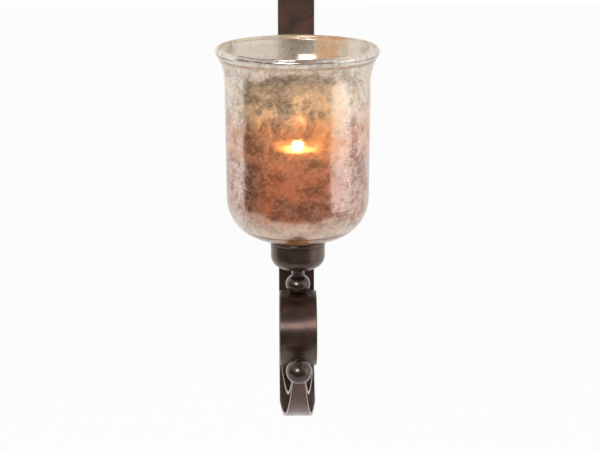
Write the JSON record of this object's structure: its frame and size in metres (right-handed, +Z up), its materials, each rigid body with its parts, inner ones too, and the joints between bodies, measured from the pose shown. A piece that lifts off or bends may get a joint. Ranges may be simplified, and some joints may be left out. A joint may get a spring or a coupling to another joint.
{
  "type": "wall sconce",
  "caption": "Torch-shaped candle sconce: bent scroll bars on the wall carry a turned neck and cup with a flared, silvered lift-off glass and a pillar candle.",
  "frame": {"origin": "midway between the two wall screws, on the wall plane, which is the back face of the wall bar", "axes": "+Z up the wall, +Y into the wall, +X to the right as seen from the room; the sconce reaches towards -Y"},
  "size_m": [0.178, 0.186, 0.56],
  "materials": {
    "bronze_bar": "dark aged bronze, satin, rubbed lighter on the edges",
    "bronze_turned": "dark aged bronze, semi-gloss",
    "zinc": "dull zinc plate",
    "seal": "matt black rubber",
    "silvered_glass": "glossy outside, mottled silver and amber mirror film inside",
    "wax": "ivory wax, slightly glossy",
    "cotton": "charred braided cotton"
  },
  "bodies": {
    "bracket": {"wall_bar": "bronze_bar", "scroll_bar": "bronze_bar", "standoff": "bronze_turned", "standoff_screw": "zinc", "standoff_washer": "zinc", "standoff_nut": "zinc", "finial_ball": "bronze_turned", "ball_screw": "zinc", "lock_washer": "zinc", "neck": "bronze_turned", "saddle_washer": "zinc", "lower_nut": "zinc", "threaded_rod": "zinc", "cup": "bronze_turned", "cup_washer": "zinc", "cup_nut": "zinc", "lip_gasket": "seal"},
    "glass": {"glass_shade": "silvered_glass"},
    "candle": {"candle": "wax", "wick": "cotton", "wick_clip": "zinc"}
  },
  "joints": [
    {"name": "glass_lift", "type": "slide", "parent": "bracket", "child": "glass", "axis": [0, 0, 1], "range_m": [0, 0.08]},
    {"name": "candle_lift", "type": "slide", "parent": "glass", "child": "candle", "axis": [0, 0, 1], "range_m": [0, 0.22]}
  ]
}
